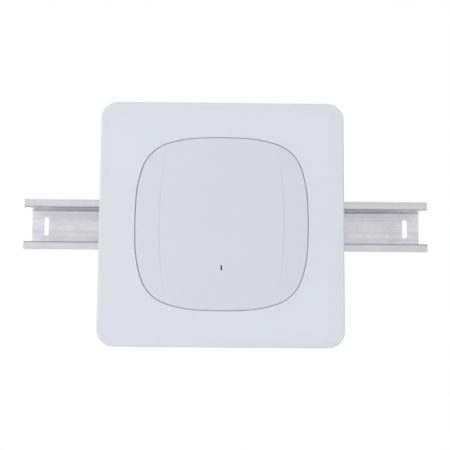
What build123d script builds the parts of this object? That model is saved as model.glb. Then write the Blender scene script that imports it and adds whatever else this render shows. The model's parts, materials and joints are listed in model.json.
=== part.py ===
from build123d import *
from functools import partial
import math
import os

# Flush ceiling access point. A square trim plate lies against the underside of a ceiling board. The access
# point fills the plate's rounded-square opening, and hangs on a bracket that is bolted to a hat-section rail
# lying on top of the board. Four pot magnets on the trim plate hold it up against the rail's lips.
#
# Frame, in millimetres: the origin is the middle of the trim plate, in the plane of the ceiling's underside.
# +Z points up into the ceiling, X runs along the rail, and the status light is towards -Y. The access point
# slides home in its bracket towards -Y, and its sockets open towards +Y, into a pocket in its back.

# ---- Driving dimensions ----------------------------------------------------------------------------------

SHEET = 1.5            # steel sheet of the rail and the bracket
BOARD = 12.7           # ceiling board held between the trim plate and the rail's lips
FIT = 0.05             # radial clearance between a shank and its hole

# Rounded-square outline: three arcs in each half side, each tangent to the next
AP_HALF = 107.9        # half the access point's width
SIDE_R = 515.0         # long arc in the middle of each side
SHOULDER_R = 147.0     # arc that turns the side towards the corner
SIDE_TURN = math.radians(3.45)        # where the side arc gives way to the shoulder
SHOULDER_TURN = math.radians(18.4)    # where the shoulder gives way to the corner

# Trim plate
PLATE_SIDE = 304.8
PLATE_CORNER = 21.0
PLATE_FACE = -5.0      # room side of the trim plate
PLATE_SKIN = 2.5
PLATE_ROUND = 2.4      # rounding of the plate's room-side edge
RIM_WALL = 2.5
RIM_TOP = -0.6         # the rim stops short of the ceiling, so that the gasket seals
OPENING_GAP = 0.25     # gap all round between the access point and the plate's opening
OPENING_ROUND = 0.3    # rounding of the opening's edge
COLLAR_WALL = 2.0
COLLAR_TOP = 8.0
RIB = 1.6
RIB_TOP = 5.5
RIB_END = 138.0        # the ribs and the collar go up through a 276 mm square hole in the ceiling
LONG_SIDE_RIBS = [-70, -48, 0, 48, 70]
CROSS_SIDE_RIBS = [-70, -35, 0, 35, 70]
GASKET_INSET = 1.0
GASKET_WIDTH = 8.0

# Magnets that hold the trim plate
MAGNET_X = 131.0
MAGNET_Y = 26.8
MAGNET_AIR = 0.05      # film of paint and air between the magnets and the rail
CUP_R = 5.0
CUP_HEIGHT = 5.0
CUP_WALL = 1.0
CUP_BASE = 1.3
BOSS_R = 4.5
BOSS_TOP = 4.0
STUD_R = 2.0

# Hat-section rail
RAIL_LENGTH = 511.0
RAIL_X = -5.5          # where the rail's middle stands: its bolt slots run along X and the
RAIL_Y = -1.5          # bracket's along Y, so that the bracket can be set over the ceiling's hole
RAIL_HEIGHT = 38.1
RAIL_WIDTH = 63.5      # over the lips
RAIL_INSIDE = 43.0     # between the walls
LIP_BEND = 1.2         # inside radius of the bend between lip and wall
WEB_BEND = 3.0         # inside radius of the bend between wall and web
LIP_CORNER = 1.5
NOTCH_LENGTH = 240.0   # the walls and lips are cut away over the access point
NOTCH_RELIEF = 4.0
END_SLOT_FROM_MIDDLE = 237.0
END_SLOT_WIDTH = 6.2
END_SLOT_LENGTH = 24.5
CABLE_HOLE_R = 13.0
CABLE_R = 10.0         # inside of the cable grommet
GROMMET_FLANGE_R = 15.5
GROMMET_FLANGE = 1.6

# Mounting bracket
BRACKET_X = 152.0
BRACKET_Y = 150.0
BRACKET_CORNER = 10.0
BRACKET_TOP = 46.1
BRACKET_FLANGE_X = 76.0
BRACKET_FLANGE = 5.0   # height of the stiffening flanges
WINDOW_X = 64.0        # cable window over the pocket
WINDOW_Y = 24.0
WINDOW_MIDDLE = 56.0
CENTRE_HOLE_R = 21.0
BOLT_X = 45.0
BOLT_Y = 12.0
BOLT_R = 2.5
BOLT_SLOT_WIDTH = 5.4
RAIL_BOLT_SLOT = 20.0
BRACKET_BOLT_SLOT = 9.6

# Feet of the access point, and the slider that locks one of them
FOOT_X = 52.0
FOOT_Y = 50.0
FOOT_NECK_R = 3.0
FOOT_HEAD_R = 5.4
FOOT_THREAD_R = 2.0
KEY_SLIDE = 13.0       # the access point slides this far home in the keyholes
KEY_ENTRY_R = 6.2
KEY_SLOT_R = 3.3
SLIDER_TRAVEL = 10.0
SLIDER_THICK = 1.2
SLIDER_LENGTH = 26.0
SLIDER_TAB = 6.0
RIVET_R = 1.5
RIVET_SPACING = 5.5

# Access point's casing
FACE_EDGE = -5.0       # level of the face's edge, where no wing cuts it
FACE_CROWN = 0.6       # the face's middle stands this far below its edge
CREASE_X = 77.7        # the face turns back beyond a bowed crease on either side
CREASE_R = 223.0
WING_SLOPE = math.radians(2.0)
AP_BACK = 35.0         # back of the rear housing, without its fins
COVER_WALL = 2.2
COVER_ROUND = 2.6
COVER_TOP = 24.0
SEAM = 0.6             # gap between cover and housing, filled by the gasket
HOUSING_INSET = 0.4
HOUSING_ROUND = 5.0
HOUSING_WALL = 3.5
TONGUE_LOW = 21.0
TONGUE_WALL = 2.0
FIN_TOP = 38.0
FIN = 2.0
FIN_PITCH = 7.0
FIN_FIRST = -88.0
FIN_COUNT = 17
FIN_REACH = 66.0
FIN_REACH_AT_FEET = 38.0
FOOT_CLEAR = 9.0
COVER_SCREW = 76.0
GROUND_SCREW = (-70.0, 40.0)
GROUND_R = 1.75
LABEL = (70.0, 12.0, 0.2)
LABEL_MIDDLE = 93.0
LIGHT_Y = -55.0
LIGHT_WIDTH = 1.9
LIGHT_LENGTH = 6.6

# Pocket in the casing's back, and what opens into it
POCKET_X = 40.0        # half the pocket's width
POCKET_NEAR = 40.0
POCKET_FAR = 82.0
POCKET_FLOOR = 15.0
POCKET_WALL = 2.2
JACK = (16.0, 21.0, 13.4)
ETHERNET_X = -27.0
CONSOLE_X = -7.0
USB = (14.4, 14.0, 7.0)
USB_X = 12.0
WINDOW_GAP = 0.2
CONTACT_PITCH = 1.02
PORT_LIGHT = (2.8, 1.5, 1.0)          # lens in the network socket's face
PORT_LIGHT_X = 5.4
BUTTON_X = 29.0
BUTTON_Z = 21.0
BUTTON_R = 2.6
BUTTON_PROUD = 1.2
BUTTON_COLLAR = 1.0
BUTTON_STEM = 3.0
BUTTON_PLAY = 0.3
PLUNGER_PROUD = 1.5
PLUNGER_R = 1.1

# Boards inside the access point
BOARD_LOW = 14.0
BOARD_THICK = 1.6
BOARD_X = 134.0
BOARD_Y_LOW = -78.0
BOARD_Y_HIGH = 37.5
BOARD_POSTS = [(-60, -70), (60, -70), (-60, -20), (60, -20), (-60, 30), (60, 30)]
PROCESSOR = (23.0, 23.0, 2.0)
MEMORY = (9.0, 12.0, 1.1)
MEMORY_AT = [(-21, -7), (-21, 7), (21, -7), (21, 7)]
SHIELD_HEIGHT = 3.4
SHIELDS = [(-38, -34, 30, 22), (0, -34, 34, 22), (38, -34, 30, 22), (-22, -62, 40, 22), (24, -62, 38, 22)]
THERMAL_PAD = 1.0
TRANSFORMER_AT = (-50, 4)
MAGNETICS_AT = [(-35, 8), (52, 2)]
CAPACITOR_R = 4.0
CAPACITORS_AT = [(44, 24), (44, 33), (54, 16)]
INDUCTOR = (7.0, 7.0, 4.2)
INDUCTORS_AT = [(34, -14), (44, -14), (-40, -14)]

# Antennas
ANTENNA_PLATE_LOW = 8.0
ANTENNA_PLATE_THICK = 1.0
ANTENNA_POSTS = [(-84, 0), (84, 0), (-30, -88), (30, 92)]
ANTENNA_LOW = 0.6
ANTENNA_STRIP = 0.7
CORNER_ANTENNA = 62.0
INNER_ANTENNAS = [(46, 0, 90), (-46, 0, 270), (0, 52, 180), (30, -52, 0)]
COAX_R = 0.6
COAX_TURN_R = 9.0
COAX_ROUTES = [
    [(62, 62), (70, 30), (50, -30)],
    [(-62, 62), (-70, 30), (-50, -30)],
    [(-62, -62), (-50, -48), (-34, -52)],
    [(62, -62), (52, -46), (34, -50)],
]

# ---- Values worked out from them -------------------------------------------------------------------------

SKIN_TOP = PLATE_FACE + PLATE_SKIN
WEB_TOP = BOARD + RAIL_HEIGHT
WEB_LOW = WEB_TOP - SHEET
BRACKET_LOW = BRACKET_TOP - SHEET
BOARD_TOP = BOARD_LOW + BOARD_THICK
HOUSING_FLOOR = AP_BACK - HOUSING_WALL
FACE_LOW = FACE_EDGE - FACE_CROWN
FACE_BALL_R = (AP_HALF**2 + FACE_CROWN**2) / (2 * FACE_CROWN)
POST_LOW = FACE_EDGE + COVER_WALL / 2     # inside the cover's face wall, all over the face
CREASE_LOW = FACE_LOW + FACE_CROWN * (CREASE_X / AP_HALF) ** 2
SOCKET_FRONT = POCKET_NEAR + 0.3
SOCKET_LOW = BOARD_TOP + 0.1
CUP_TOP = BOARD - MAGNET_AIR
CUP_LOW = CUP_TOP - CUP_HEIGHT
ANTENNA_PLATE_TOP = ANTENNA_PLATE_LOW + ANTENNA_PLATE_THICK
COAX_LEVEL = ANTENNA_PLATE_TOP + 2.0
COLLAR_Y = POCKET_NEAR - POCKET_WALL - BUTTON_PLAY
SWITCH_FRONT = COLLAR_Y - BUTTON_COLLAR - BUTTON_STEM - PLUNGER_PROUD
SLIDER_LOW = BRACKET_TOP + 0.1
SLIDER_TOP = SLIDER_LOW + SLIDER_THICK
SLIDER_Y = FOOT_Y + KEY_SLIDE
THROUGH = 100.0        # longer than any hole is deep

MAGNETS = [(x, y) for x in (-MAGNET_X, MAGNET_X) for y in (-MAGNET_Y, MAGNET_Y)]
BOLT_PATTERN = [(x, y) for x in (-BOLT_X, BOLT_X) for y in (-BOLT_Y, BOLT_Y)]
BOLTS = [(x, RAIL_Y + y) for x, y in BOLT_PATTERN]
FEET = [(x, y) for x in (-FOOT_X, FOOT_X) for y in (-FOOT_Y, FOOT_Y)]
COVER_SCREWS = [(x, y) for x in (-COVER_SCREW, COVER_SCREW) for y in (-COVER_SCREW, COVER_SCREW)]
RIVETS = [(FOOT_X + 11, SLIDER_Y), (FOOT_X + 11 + RIVET_SPACING, SLIDER_Y)]

# ---- Helpers ---------------------------------------------------------------------------------------------


def block(x0, x1, y0, y1, z0, z1):
    """A box between two corners."""
    return Pos((x0 + x1) / 2, (y0 + y1) / 2, (z0 + z1) / 2) * Box(x1 - x0, y1 - y0, z1 - z0)


def standing(x, y, size, level):
    """A box of the given size, standing at x, y on a level."""
    return Pos(x, y, level + size[2] / 2) * Box(*size)


def rod(x, y, r, z0, z1):
    """An upright cylinder."""
    return Pos(x, y, (z0 + z1) / 2) * Cylinder(r, z1 - z0)


def hole(x, y, r):
    """The tool for an upright hole right through."""
    return Pos(x, y) * Cylinder(r, 2 * THROUGH)


def y_rod(x, z, r, y0, y1):
    """A cylinder along Y."""
    return Pos(x, (y0 + y1) / 2, z) * Rot(90, 0, 0) * Cylinder(r, y1 - y0)


def prism(sketch, z0, z1):
    """A flat outline drawn in XY, made solid between two levels."""
    return extrude(Pos(0, 0, z0) * sketch, z1 - z0)


def hexagon(x, y, across, z0, z1):
    """An upright hexagonal prism, across its flats."""
    return Pos(x, y) * prism(RegularPolygon(across / 2, 6, major_radius=False), z0, z1)


def nut(x, y, across, z0, z1):
    """A hexagonal prism whose corners are turned off at both ends."""
    blank = rod(x, y, across * 0.565, z0, z1)
    blank = chamfer(blank.edges().filter_by(GeomType.CIRCLE), across * 0.06)
    return blank & hexagon(x, y, across, z0, z1)


def join(pieces):
    """Several overlapping pieces as one solid."""
    whole = pieces[0]
    for piece in pieces[1:]:
        whole = whole + piece
    return whole


def cut(body, tools):
    """The body with every tool taken away."""
    for tool in tools:
        body = body - tool
    return body


def group(pieces):
    """Separate solids that share one node."""
    return Compound(children=[solid for piece in pieces for solid in piece.solids()])


def squircle(grow=0.0):
    """The rounded-square outline, grown outwards all round by a parallel offset."""
    side = Vector(AP_HALF - SIDE_R, 0)
    shoulder = side + (SIDE_R - SHOULDER_R) * Vector(math.cos(SIDE_TURN), math.sin(SIDE_TURN))
    reach = (shoulder.Y - shoulder.X) / (math.cos(SHOULDER_TURN) - math.sin(SHOULDER_TURN))
    corner = shoulder + reach * Vector(math.cos(SHOULDER_TURN), math.sin(SHOULDER_TURN))
    next_shoulder = Vector(shoulder.Y, shoulder.X)
    arcs = [
        (side, SIDE_R, -SIDE_TURN, SIDE_TURN),
        (shoulder, SHOULDER_R, SIDE_TURN, SHOULDER_TURN),
        (corner, SHOULDER_R - reach, SHOULDER_TURN, math.pi / 2 - SHOULDER_TURN),
        (next_shoulder, SHOULDER_R, math.pi / 2 - SHOULDER_TURN, math.pi / 2 - SIDE_TURN),
    ]
    edges = []
    for quarter in range(4):
        for centre, r, start, end in arcs:
            turns = (start, (start + end) / 2, end)
            points = [centre + (r + grow) * Vector(math.cos(turn), math.sin(turn)) for turn in turns]
            edges.append(ThreePointArc(*[point.rotate(Axis.Z, 90 * quarter) for point in points]))
    return make_face(Wire(edges))


def pan_screw(x, y, z, head_r, head, shank_r, shank, key_r):
    """A screw seated at level z: its head hangs below, its shank rises above."""
    dome = rod(x, y, head_r, z - head, z)
    dome = fillet(dome.edges().filter_by(GeomType.CIRCLE).sort_by(Axis.Z)[0], head * 0.55)
    key = hexagon(x, y, key_r * 2, z - head, z - head * 0.4)
    return dome + rod(x, y, shank_r, z, z + shank) - key


def turned_over(piece, z):
    """A piece mirrored through the level z, so that a screw's head comes on top."""
    return Pos(0, 0, 2 * z) * mirror(piece, about=Plane.XY)


# ---- Trim plate and what it carries ----------------------------------------------------------------------


def trim_rib(offset, quarter):
    """A tapering gusset from the collar to the rim, on one of the four sides."""
    root = AP_HALF + OPENING_GAP
    outline = Polyline(
        (root, PLATE_FACE + 1),
        (RIB_END, PLATE_FACE + 1),
        (RIB_END, RIM_TOP - 0.6),
        (root + 5, RIB_TOP),
        (root - 6, RIB_TOP),
        (root - 6, PLATE_FACE + 1),
        close=True,
    )
    rib = Pos(0, offset + RIB / 2, 0) * extrude(Plane.XZ * make_face(outline), RIB)
    return Rot(0, 0, 90 * quarter) * rib


def trim_plate():
    """A moulded square pan with a collar round its opening, ribs, and a boss for each magnet stud."""
    blank = prism(RectangleRounded(PLATE_SIDE, PLATE_SIDE, PLATE_CORNER), PLATE_FACE, RIM_TOP)
    blank = fillet(blank.faces().sort_by(Axis.Z)[0].edges(), PLATE_ROUND)
    inner = PLATE_SIDE - 2 * RIM_WALL
    hollow = prism(RectangleRounded(inner, inner, PLATE_CORNER - RIM_WALL), SKIN_TOP, RIM_TOP + 1)
    collar = prism(squircle(OPENING_GAP + COLLAR_WALL), PLATE_FACE + 1, COLLAR_TOP)
    ribs = [trim_rib(offset, side) for side in (0, 2) for offset in LONG_SIDE_RIBS]
    ribs += [trim_rib(offset, side) for side in (1, 3) for offset in CROSS_SIDE_RIBS]
    bosses = [rod(x, y, BOSS_R, PLATE_FACE + 1, BOSS_TOP) for x, y in MAGNETS]
    plate = join([blank - hollow, collar] + ribs + bosses)
    plate = plate - prism(squircle(OPENING_GAP), PLATE_FACE - 1, COLLAR_TOP + 1)
    face = plate.faces().filter_by(GeomType.PLANE).sort_by(Axis.Z)[0]
    plate = fillet(face.inner_wires()[0].edges(), OPENING_ROUND)
    return cut(plate, [rod(x, y, STUD_R, SKIN_TOP + 0.5, BOSS_TOP + 1) for x, y in MAGNETS])


def ceiling_gasket():
    """A foam strip inside the rim, whose top seals against the ceiling."""
    outer = PLATE_SIDE - 2 * (RIM_WALL + GASKET_INSET)
    inner = outer - 2 * GASKET_WIDTH
    corner = PLATE_CORNER - RIM_WALL - GASKET_INSET
    ring = RectangleRounded(outer, outer, corner) - RectangleRounded(inner, inner, corner - GASKET_WIDTH)
    return prism(ring, SKIN_TOP, 0)


def magnet_studs():
    """Threaded studs that set the magnets' height to the ceiling's thickness."""
    top = CUP_LOW + CUP_BASE - 0.2
    return group([rod(x, y, STUD_R - FIT, SKIN_TOP + 0.6, top) for x, y in MAGNETS])


def magnet_lock_nuts():
    """Thin nuts that lock the studs on their bosses."""
    return group([nut(x, y, 7.0, BOSS_TOP, BOSS_TOP + 2.2) - hole(x, y, STUD_R) for x, y in MAGNETS])


def magnet_cups():
    """Steel pots that carry the magnets' pull to their rims."""
    cups = []
    for x, y in MAGNETS:
        well = rod(x, y, CUP_R - CUP_WALL, CUP_LOW + CUP_BASE, CUP_TOP + 1)
        thread = rod(x, y, STUD_R, CUP_LOW - 1, CUP_LOW + CUP_BASE - 0.1)
        cups.append(cut(rod(x, y, CUP_R, CUP_LOW, CUP_TOP), [well, thread]))
    return group(cups)


def magnet_discs():
    """The magnets themselves, sunk in the pots with a ring of resin space round them."""
    return group([rod(x, y, CUP_R - CUP_WALL - 0.3, CUP_LOW + CUP_BASE, CUP_TOP) for x, y in MAGNETS])


# ---- Rail ------------------------------------------------------------------------------------------------


def rail_corners(section, y, z):
    """The section's two corners at y, left and right, and level z."""
    return [v for v in section.vertices() if abs(abs(v.X) - y) < 0.01 and abs(v.Y - z) < 0.01]


def rail_section():
    """The hat section, with its width along the sketch's X and its height along Y."""
    lip = RAIL_WIDTH / 2
    inside = RAIL_INSIDE / 2
    outside = inside + SHEET
    half = [
        (0, WEB_LOW),
        (inside, WEB_LOW),
        (inside, BOARD),
        (lip, BOARD),
        (lip, BOARD + SHEET),
        (outside, BOARD + SHEET),
        (outside, WEB_TOP),
        (0, WEB_TOP),
    ]
    section = make_face(Polyline(*half, close=True))
    section = section + mirror(section, about=Plane.YZ)
    bends = [
        (inside, BOARD, LIP_BEND + SHEET),
        (outside, BOARD + SHEET, LIP_BEND),
        (inside, WEB_LOW, WEB_BEND),
        (outside, WEB_TOP, WEB_BEND + SHEET),
    ]
    for y, z, radius in bends:
        section = fillet(rail_corners(section, y, z), radius)
    return section


def hanger_rail():
    """The hat-section rail, with its walls and lips cut away over the access point."""
    half = RAIL_LENGTH / 2
    rail = extrude(Plane.YZ * rail_section(), half, both=True)
    corners = [e for e in rail.edges().filter_by(Axis.Z) if abs(abs(e.center().Y) - RAIL_WIDTH / 2) < 0.01]
    rail = fillet([e for e in corners if abs(abs(e.center().X) - half) < 0.01], LIP_CORNER)
    notch = block(-NOTCH_LENGTH / 2, NOTCH_LENGTH / 2, -RAIL_WIDTH, RAIL_WIDTH, 0, BRACKET_TOP + 0.8)
    notch = fillet(notch.faces().sort_by(Axis.Z)[-1].edges().filter_by(Axis.Y), NOTCH_RELIEF)
    end_slot = Rot(0, 0, 90) * SlotOverall(END_SLOT_LENGTH, END_SLOT_WIDTH)
    bolt_slot = SlotOverall(RAIL_BOLT_SLOT, BOLT_SLOT_WIDTH)
    tools = [notch, hole(0, 0, CABLE_HOLE_R)]
    tools += [Pos(side * END_SLOT_FROM_MIDDLE) * prism(end_slot, 0, THROUGH) for side in (-1, 1)]
    tools += [Pos(x, y) * prism(bolt_slot, 0, THROUGH) for x, y in BOLT_PATTERN]
    return Pos(RAIL_X, RAIL_Y) * cut(rail, tools)


def cable_grommet():
    """A rubber bush that lines the cable hole in the rail's web."""
    low, high = WEB_LOW - GROMMET_FLANGE, WEB_TOP + GROMMET_FLANGE
    neck = rod(0, 0, CABLE_HOLE_R - FIT, low, high)
    top = rod(0, 0, GROMMET_FLANGE_R, WEB_TOP, high)
    bottom = rod(0, 0, GROMMET_FLANGE_R, low, WEB_LOW)
    top = fillet(top.edges().sort_by(Axis.Z)[-1], GROMMET_FLANGE / 2)
    bottom = fillet(bottom.edges().sort_by(Axis.Z)[0], GROMMET_FLANGE / 2)
    return Pos(RAIL_X, RAIL_Y) * (join([neck, top, bottom]) - hole(0, 0, CABLE_R))


# ---- Bracket ---------------------------------------------------------------------------------------------


def keyhole(x, y):
    """The cut that a foot's head enters and its neck slides along."""
    neck_path = block(x - KEY_SLOT_R, x + KEY_SLOT_R, y, y + KEY_SLIDE, 0, THROUGH)
    return join([hole(x, y + KEY_SLIDE, KEY_ENTRY_R), hole(x, y, KEY_SLOT_R), neck_path])


def mounting_bracket():
    """A stamped steel plate with four keyholes, two stiffening flanges and a cable window."""
    low, high = BRACKET_LOW, BRACKET_TOP
    plate = prism(RectangleRounded(BRACKET_X, BRACKET_Y, BRACKET_CORNER), low, high)
    reach, edge = BRACKET_FLANGE_X / 2, BRACKET_Y / 2
    flanges = [
        block(-reach, reach, edge - SHEET, edge, low, high + BRACKET_FLANGE),
        block(-reach, reach, -edge, SHEET - edge, low, high + BRACKET_FLANGE),
    ]
    flanges = [fillet(f.faces().sort_by(Axis.Z)[-1].edges().filter_by(Axis.Y), 3) for f in flanges]
    window = prism(RectangleRounded(WINDOW_X, WINDOW_Y, 5), 0, THROUGH)
    bolt_slot = prism(Rot(0, 0, 90) * SlotOverall(BRACKET_BOLT_SLOT, BOLT_SLOT_WIDTH), 0, THROUGH)
    tie_slot = prism(SlotOverall(16, 4.6), 0, THROUGH)
    tools = [keyhole(x, y) for x, y in FEET]
    tools += [Pos(x, y) * bolt_slot for x, y in BOLT_PATTERN]
    tools += [hole(0, 0, CENTRE_HOLE_R), Pos(0, WINDOW_MIDDLE) * window]
    tools += [Pos(side * 31, -56) * tie_slot for side in (-1, 1)]
    tools += [hole(side * 10, -56, 2.3) for side in (-1, 1)]
    tools += [hole(x, y, RIVET_R + FIT) for x, y in RIVETS]
    return cut(join([plate] + flanges), tools)


def bracket_spacers():
    """Washers that fill the gap between the bracket and the rail's web."""
    return group([rod(x, y, 5.0, BRACKET_TOP, WEB_LOW) - hole(x, y, BOLT_SLOT_WIDTH / 2) for x, y in BOLTS])


def bracket_bolts():
    """Pan-head bolts, heads under the bracket, that hold it to the rail."""
    shank = WEB_TOP - BRACKET_LOW + 6.5
    return group([pan_screw(x, y, BRACKET_LOW, 4.6, 3.0, BOLT_R, shank, 1.6) for x, y in BOLTS])


def bracket_nuts():
    """Flanged nuts on top of the rail's web."""
    nuts = []
    for x, y in BOLTS:
        flange = rod(x, y, 5.6, WEB_TOP, WEB_TOP + 1.2)
        flange = fillet(flange.edges().sort_by(Axis.Z)[-1], 0.5)
        nuts.append(flange + nut(x, y, 8.0, WEB_TOP + 0.3, WEB_TOP + 5) - hole(x, y, BOLT_R + FIT))
    return group(nuts)


def lock_slider():
    """A sliding plate that covers one keyhole's entry, so that the foot can't slide back out."""
    x0 = FOOT_X - 3
    x1 = x0 + SLIDER_LENGTH
    y0, y1 = FOOT_Y + FOOT_HEAD_R + 0.5, SLIDER_Y + 6.5
    plate = block(x0, x1, y0, y1, SLIDER_LOW, SLIDER_TOP)
    tab = block(x1 - SLIDER_THICK, x1, y0, y1, SLIDER_LOW, SLIDER_TOP + SLIDER_TAB)
    tab = fillet(tab.faces().sort_by(Axis.Z)[-1].edges().filter_by(Axis.X), 3)
    (near_x, y), (far_x, _) = RIVETS
    slot_r = RIVET_R + 0.15
    start = near_x - SLIDER_TRAVEL
    slot = join([hole(start, y, slot_r), hole(far_x, y, slot_r)])
    slot = slot + block(start, far_x, y - slot_r, y + slot_r, 0, THROUGH)
    return plate + tab - slot


def lock_slider_rivets():
    """Shoulder rivets, headed over the slider and closed under the bracket."""
    rivets = []
    for x, y in RIVETS:
        shoulder = rod(x, y, RIVET_R, BRACKET_LOW, SLIDER_TOP + 0.2)
        head = rod(x, y, 2.6, SLIDER_TOP + 0.1, SLIDER_TOP + 1.1)
        head = fillet(head.edges().sort_by(Axis.Z)[-1], 0.6)
        tail = rod(x, y, 2.3, BRACKET_LOW - 0.6, BRACKET_LOW)
        rivets.append(join([shoulder, head, tail]))
    return group(rivets)


# ---- Access point's casing -------------------------------------------------------------------------------


def crowned(grow, low, high):
    """The rounded-square outline made solid, with its lower face crowned from the level low."""
    straight = prism(squircle(grow), low - 1, high)
    return straight & (Pos(0, 0, low + FACE_BALL_R) * Sphere(FACE_BALL_R))


def wing_cone(side):
    """A wide shallow cone that turns one side of the face back, from a bowed crease outwards."""
    low, high = FACE_LOW - 1, COVER_TOP + 1
    low_r, high_r = [CREASE_R + (z - CREASE_LOW) / math.tan(WING_SLOPE) for z in (low, high)]
    return Pos(side * (CREASE_X - CREASE_R), 0, (low + high) / 2) * Cone(low_r, high_r, high - low)


def front_cover():
    """The white radome: a slightly crowned face with a wing on either side, a side wall, and screw posts."""
    outer = crowned(0, FACE_LOW, COVER_TOP) & wing_cone(-1) & wing_cone(1)
    rim = [e for e in outer.edges() if e.center().Z < 0 and e.center().length > 100]
    outer = fillet(rim, COVER_ROUND)
    hollow = crowned(-COVER_WALL, FACE_LOW + COVER_WALL, COVER_TOP + 1)
    posts = [rod(x, y, 4.0, POST_LOW, COVER_TOP) for x, y in COVER_SCREWS]
    posts += [rod(x, y, 3.5, POST_LOW, ANTENNA_PLATE_LOW) for x, y in ANTENNA_POSTS]
    shell = join([outer - hollow] + posts)
    holes = [rod(x, y, 1.5, COVER_TOP - 18, COVER_TOP + 1) for x, y in COVER_SCREWS]
    holes += [rod(x, y, 1.3, ANTENNA_PLATE_LOW - 7, ANTENNA_PLATE_LOW + 1) for x, y in ANTENNA_POSTS]
    window = Rot(0, 0, 90) * SlotOverall(LIGHT_LENGTH, LIGHT_WIDTH)
    holes.append(Pos(0, LIGHT_Y) * prism(window, FACE_LOW - 1, 0))
    return cut(shell, holes)


def housing_fins():
    """Straight cooling fins across the back, shortened beside the feet."""
    fins = []
    for row in range(FIN_COUNT):
        y = FIN_FIRST + row * FIN_PITCH
        at_feet = abs(abs(y) - FOOT_Y) < FOOT_CLEAR
        reach = FIN_REACH_AT_FEET if at_feet else FIN_REACH
        fin = block(-reach, reach, y - FIN / 2, y + FIN / 2, AP_BACK - 1, FIN_TOP)
        fins.append(fillet(fin.edges().filter_by(Axis.Z), FIN * 0.45))
    return fins


def opening_for(x, size):
    """The window in the pocket's near wall for a socket of the given size."""
    half = size[0] / 2 + WINDOW_GAP
    top = SOCKET_LOW + size[2] + WINDOW_GAP
    return block(x - half, x + half, POCKET_NEAR - 4, POCKET_NEAR + 1, BOARD_LOW - 1, top)


def rear_housing():
    """The die-cast rear half: a heat sink with fins on its back, and a pocket that the sockets open into."""
    body = prism(squircle(-HOUSING_INSET), COVER_TOP + SEAM, AP_BACK)
    body = fillet(body.faces().sort_by(Axis.Z)[-1].edges(), HOUSING_ROUND)
    tongue = prism(squircle(-COVER_WALL - HOUSING_INSET), TONGUE_LOW, COVER_TOP + SEAM + 1)
    hollow = prism(squircle(-COVER_WALL - HOUSING_INSET - TONGUE_WALL), TONGUE_LOW - 1, HOUSING_FLOOR)
    shell = join([body, tongue]) - hollow
    x, wall, inner = POCKET_X, POCKET_WALL, AP_BACK - 1
    tray = block(-x - wall, x + wall, POCKET_NEAR - wall, POCKET_FAR + wall, POCKET_FLOOR - wall, inner)
    pedestal = block(-14, 14, -14, 14, BOARD_TOP + PROCESSOR[2] + THERMAL_PAD, inner)
    posts = [rod(px, py, 3.5, BOARD_TOP, inner) for px, py in BOARD_POSTS]
    posts += [rod(px, py, 5.0, HOUSING_FLOOR - 6, inner) for px, py in FEET]
    posts += [rod(px, py, 4.0, COVER_TOP + SEAM, inner) for px, py in COVER_SCREWS]
    shell = join([shell, tray, pedestal] + posts + housing_fins())
    pocket = block(-x, x, POCKET_NEAR, POCKET_FAR, POCKET_FLOOR, FIN_TOP + 1)
    holes = [rod(px, py, 1.4, BOARD_TOP - 1, BOARD_TOP + 9) for px, py in BOARD_POSTS]
    holes += [rod(px, py, FOOT_THREAD_R + FIT, HOUSING_FLOOR - 4, FIN_TOP + 1) for px, py in FEET]
    holes += [rod(px, py, 1.75, TONGUE_LOW, FIN_TOP) for px, py in COVER_SCREWS]
    holes += [rod(px, py, 3.4, HOUSING_FLOOR + 1, FIN_TOP) for px, py in COVER_SCREWS]
    holes += [rod(*GROUND_SCREW, GROUND_R, HOUSING_FLOOR - 1, FIN_TOP)]
    windows = [opening_for(ETHERNET_X, JACK), opening_for(CONSOLE_X, JACK), opening_for(USB_X, USB)]
    windows.append(y_rod(BUTTON_X, BUTTON_Z, BUTTON_R + 0.25, POCKET_NEAR - 4, POCKET_NEAR + 1))
    return cut(shell, [pocket] + holes + windows)


def housing_gasket():
    """A silicone ring in the seam between the cover and the rear housing."""
    return prism(squircle(-0.6) - squircle(-COVER_WALL), COVER_TOP, COVER_TOP + SEAM)


def mounting_feet():
    """Shoulder screws on the housing's back that hang in the bracket's keyholes."""
    feet = []
    for x, y in FEET:
        head = rod(x, y, FOOT_HEAD_R, BRACKET_TOP + 0.2, BRACKET_TOP + 2.0)
        head = fillet(head.edges().sort_by(Axis.Z)[-1], 0.6)
        thread = rod(x, y, FOOT_THREAD_R, HOUSING_FLOOR - 3, AP_BACK)
        shoulder = rod(x, y, 5.5, AP_BACK, AP_BACK + 2)
        neck = rod(x, y, FOOT_NECK_R, AP_BACK, BRACKET_TOP + 0.3)
        key = hexagon(x, y, 3.4, BRACKET_TOP + 0.6, BRACKET_TOP + 3)
        feet.append(join([thread, shoulder, neck, head]) - key)
    return group(feet)


def cover_screws():
    """Screws sunk in the housing's back that draw the cover against it."""
    seat = HOUSING_FLOOR + 1
    screws = [pan_screw(x, y, seat, 2.9, 1.8, 1.45, seat - 9, 1.1) for x, y in COVER_SCREWS]
    return group([turned_over(screw, seat) for screw in screws])


def ground_screw():
    """The earthing screw and its washer, beside the pocket."""
    x, y = GROUND_SCREW
    seat = AP_BACK + 0.8
    washer = rod(x, y, 5.0, AP_BACK, seat) - hole(x, y, GROUND_R)
    screw = turned_over(pan_screw(x, y, seat, 3.4, 2.3, GROUND_R - FIT, 5.3, 1.2), seat)
    return group([washer, screw])


def rating_label():
    """A thin blank label beyond the pocket."""
    width, height, thick = LABEL
    return Pos(0, LABEL_MIDDLE) * prism(RectangleRounded(width, height, 1.5), AP_BACK, AP_BACK + thick)


# ---- Sockets and button ----------------------------------------------------------------------------------


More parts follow.
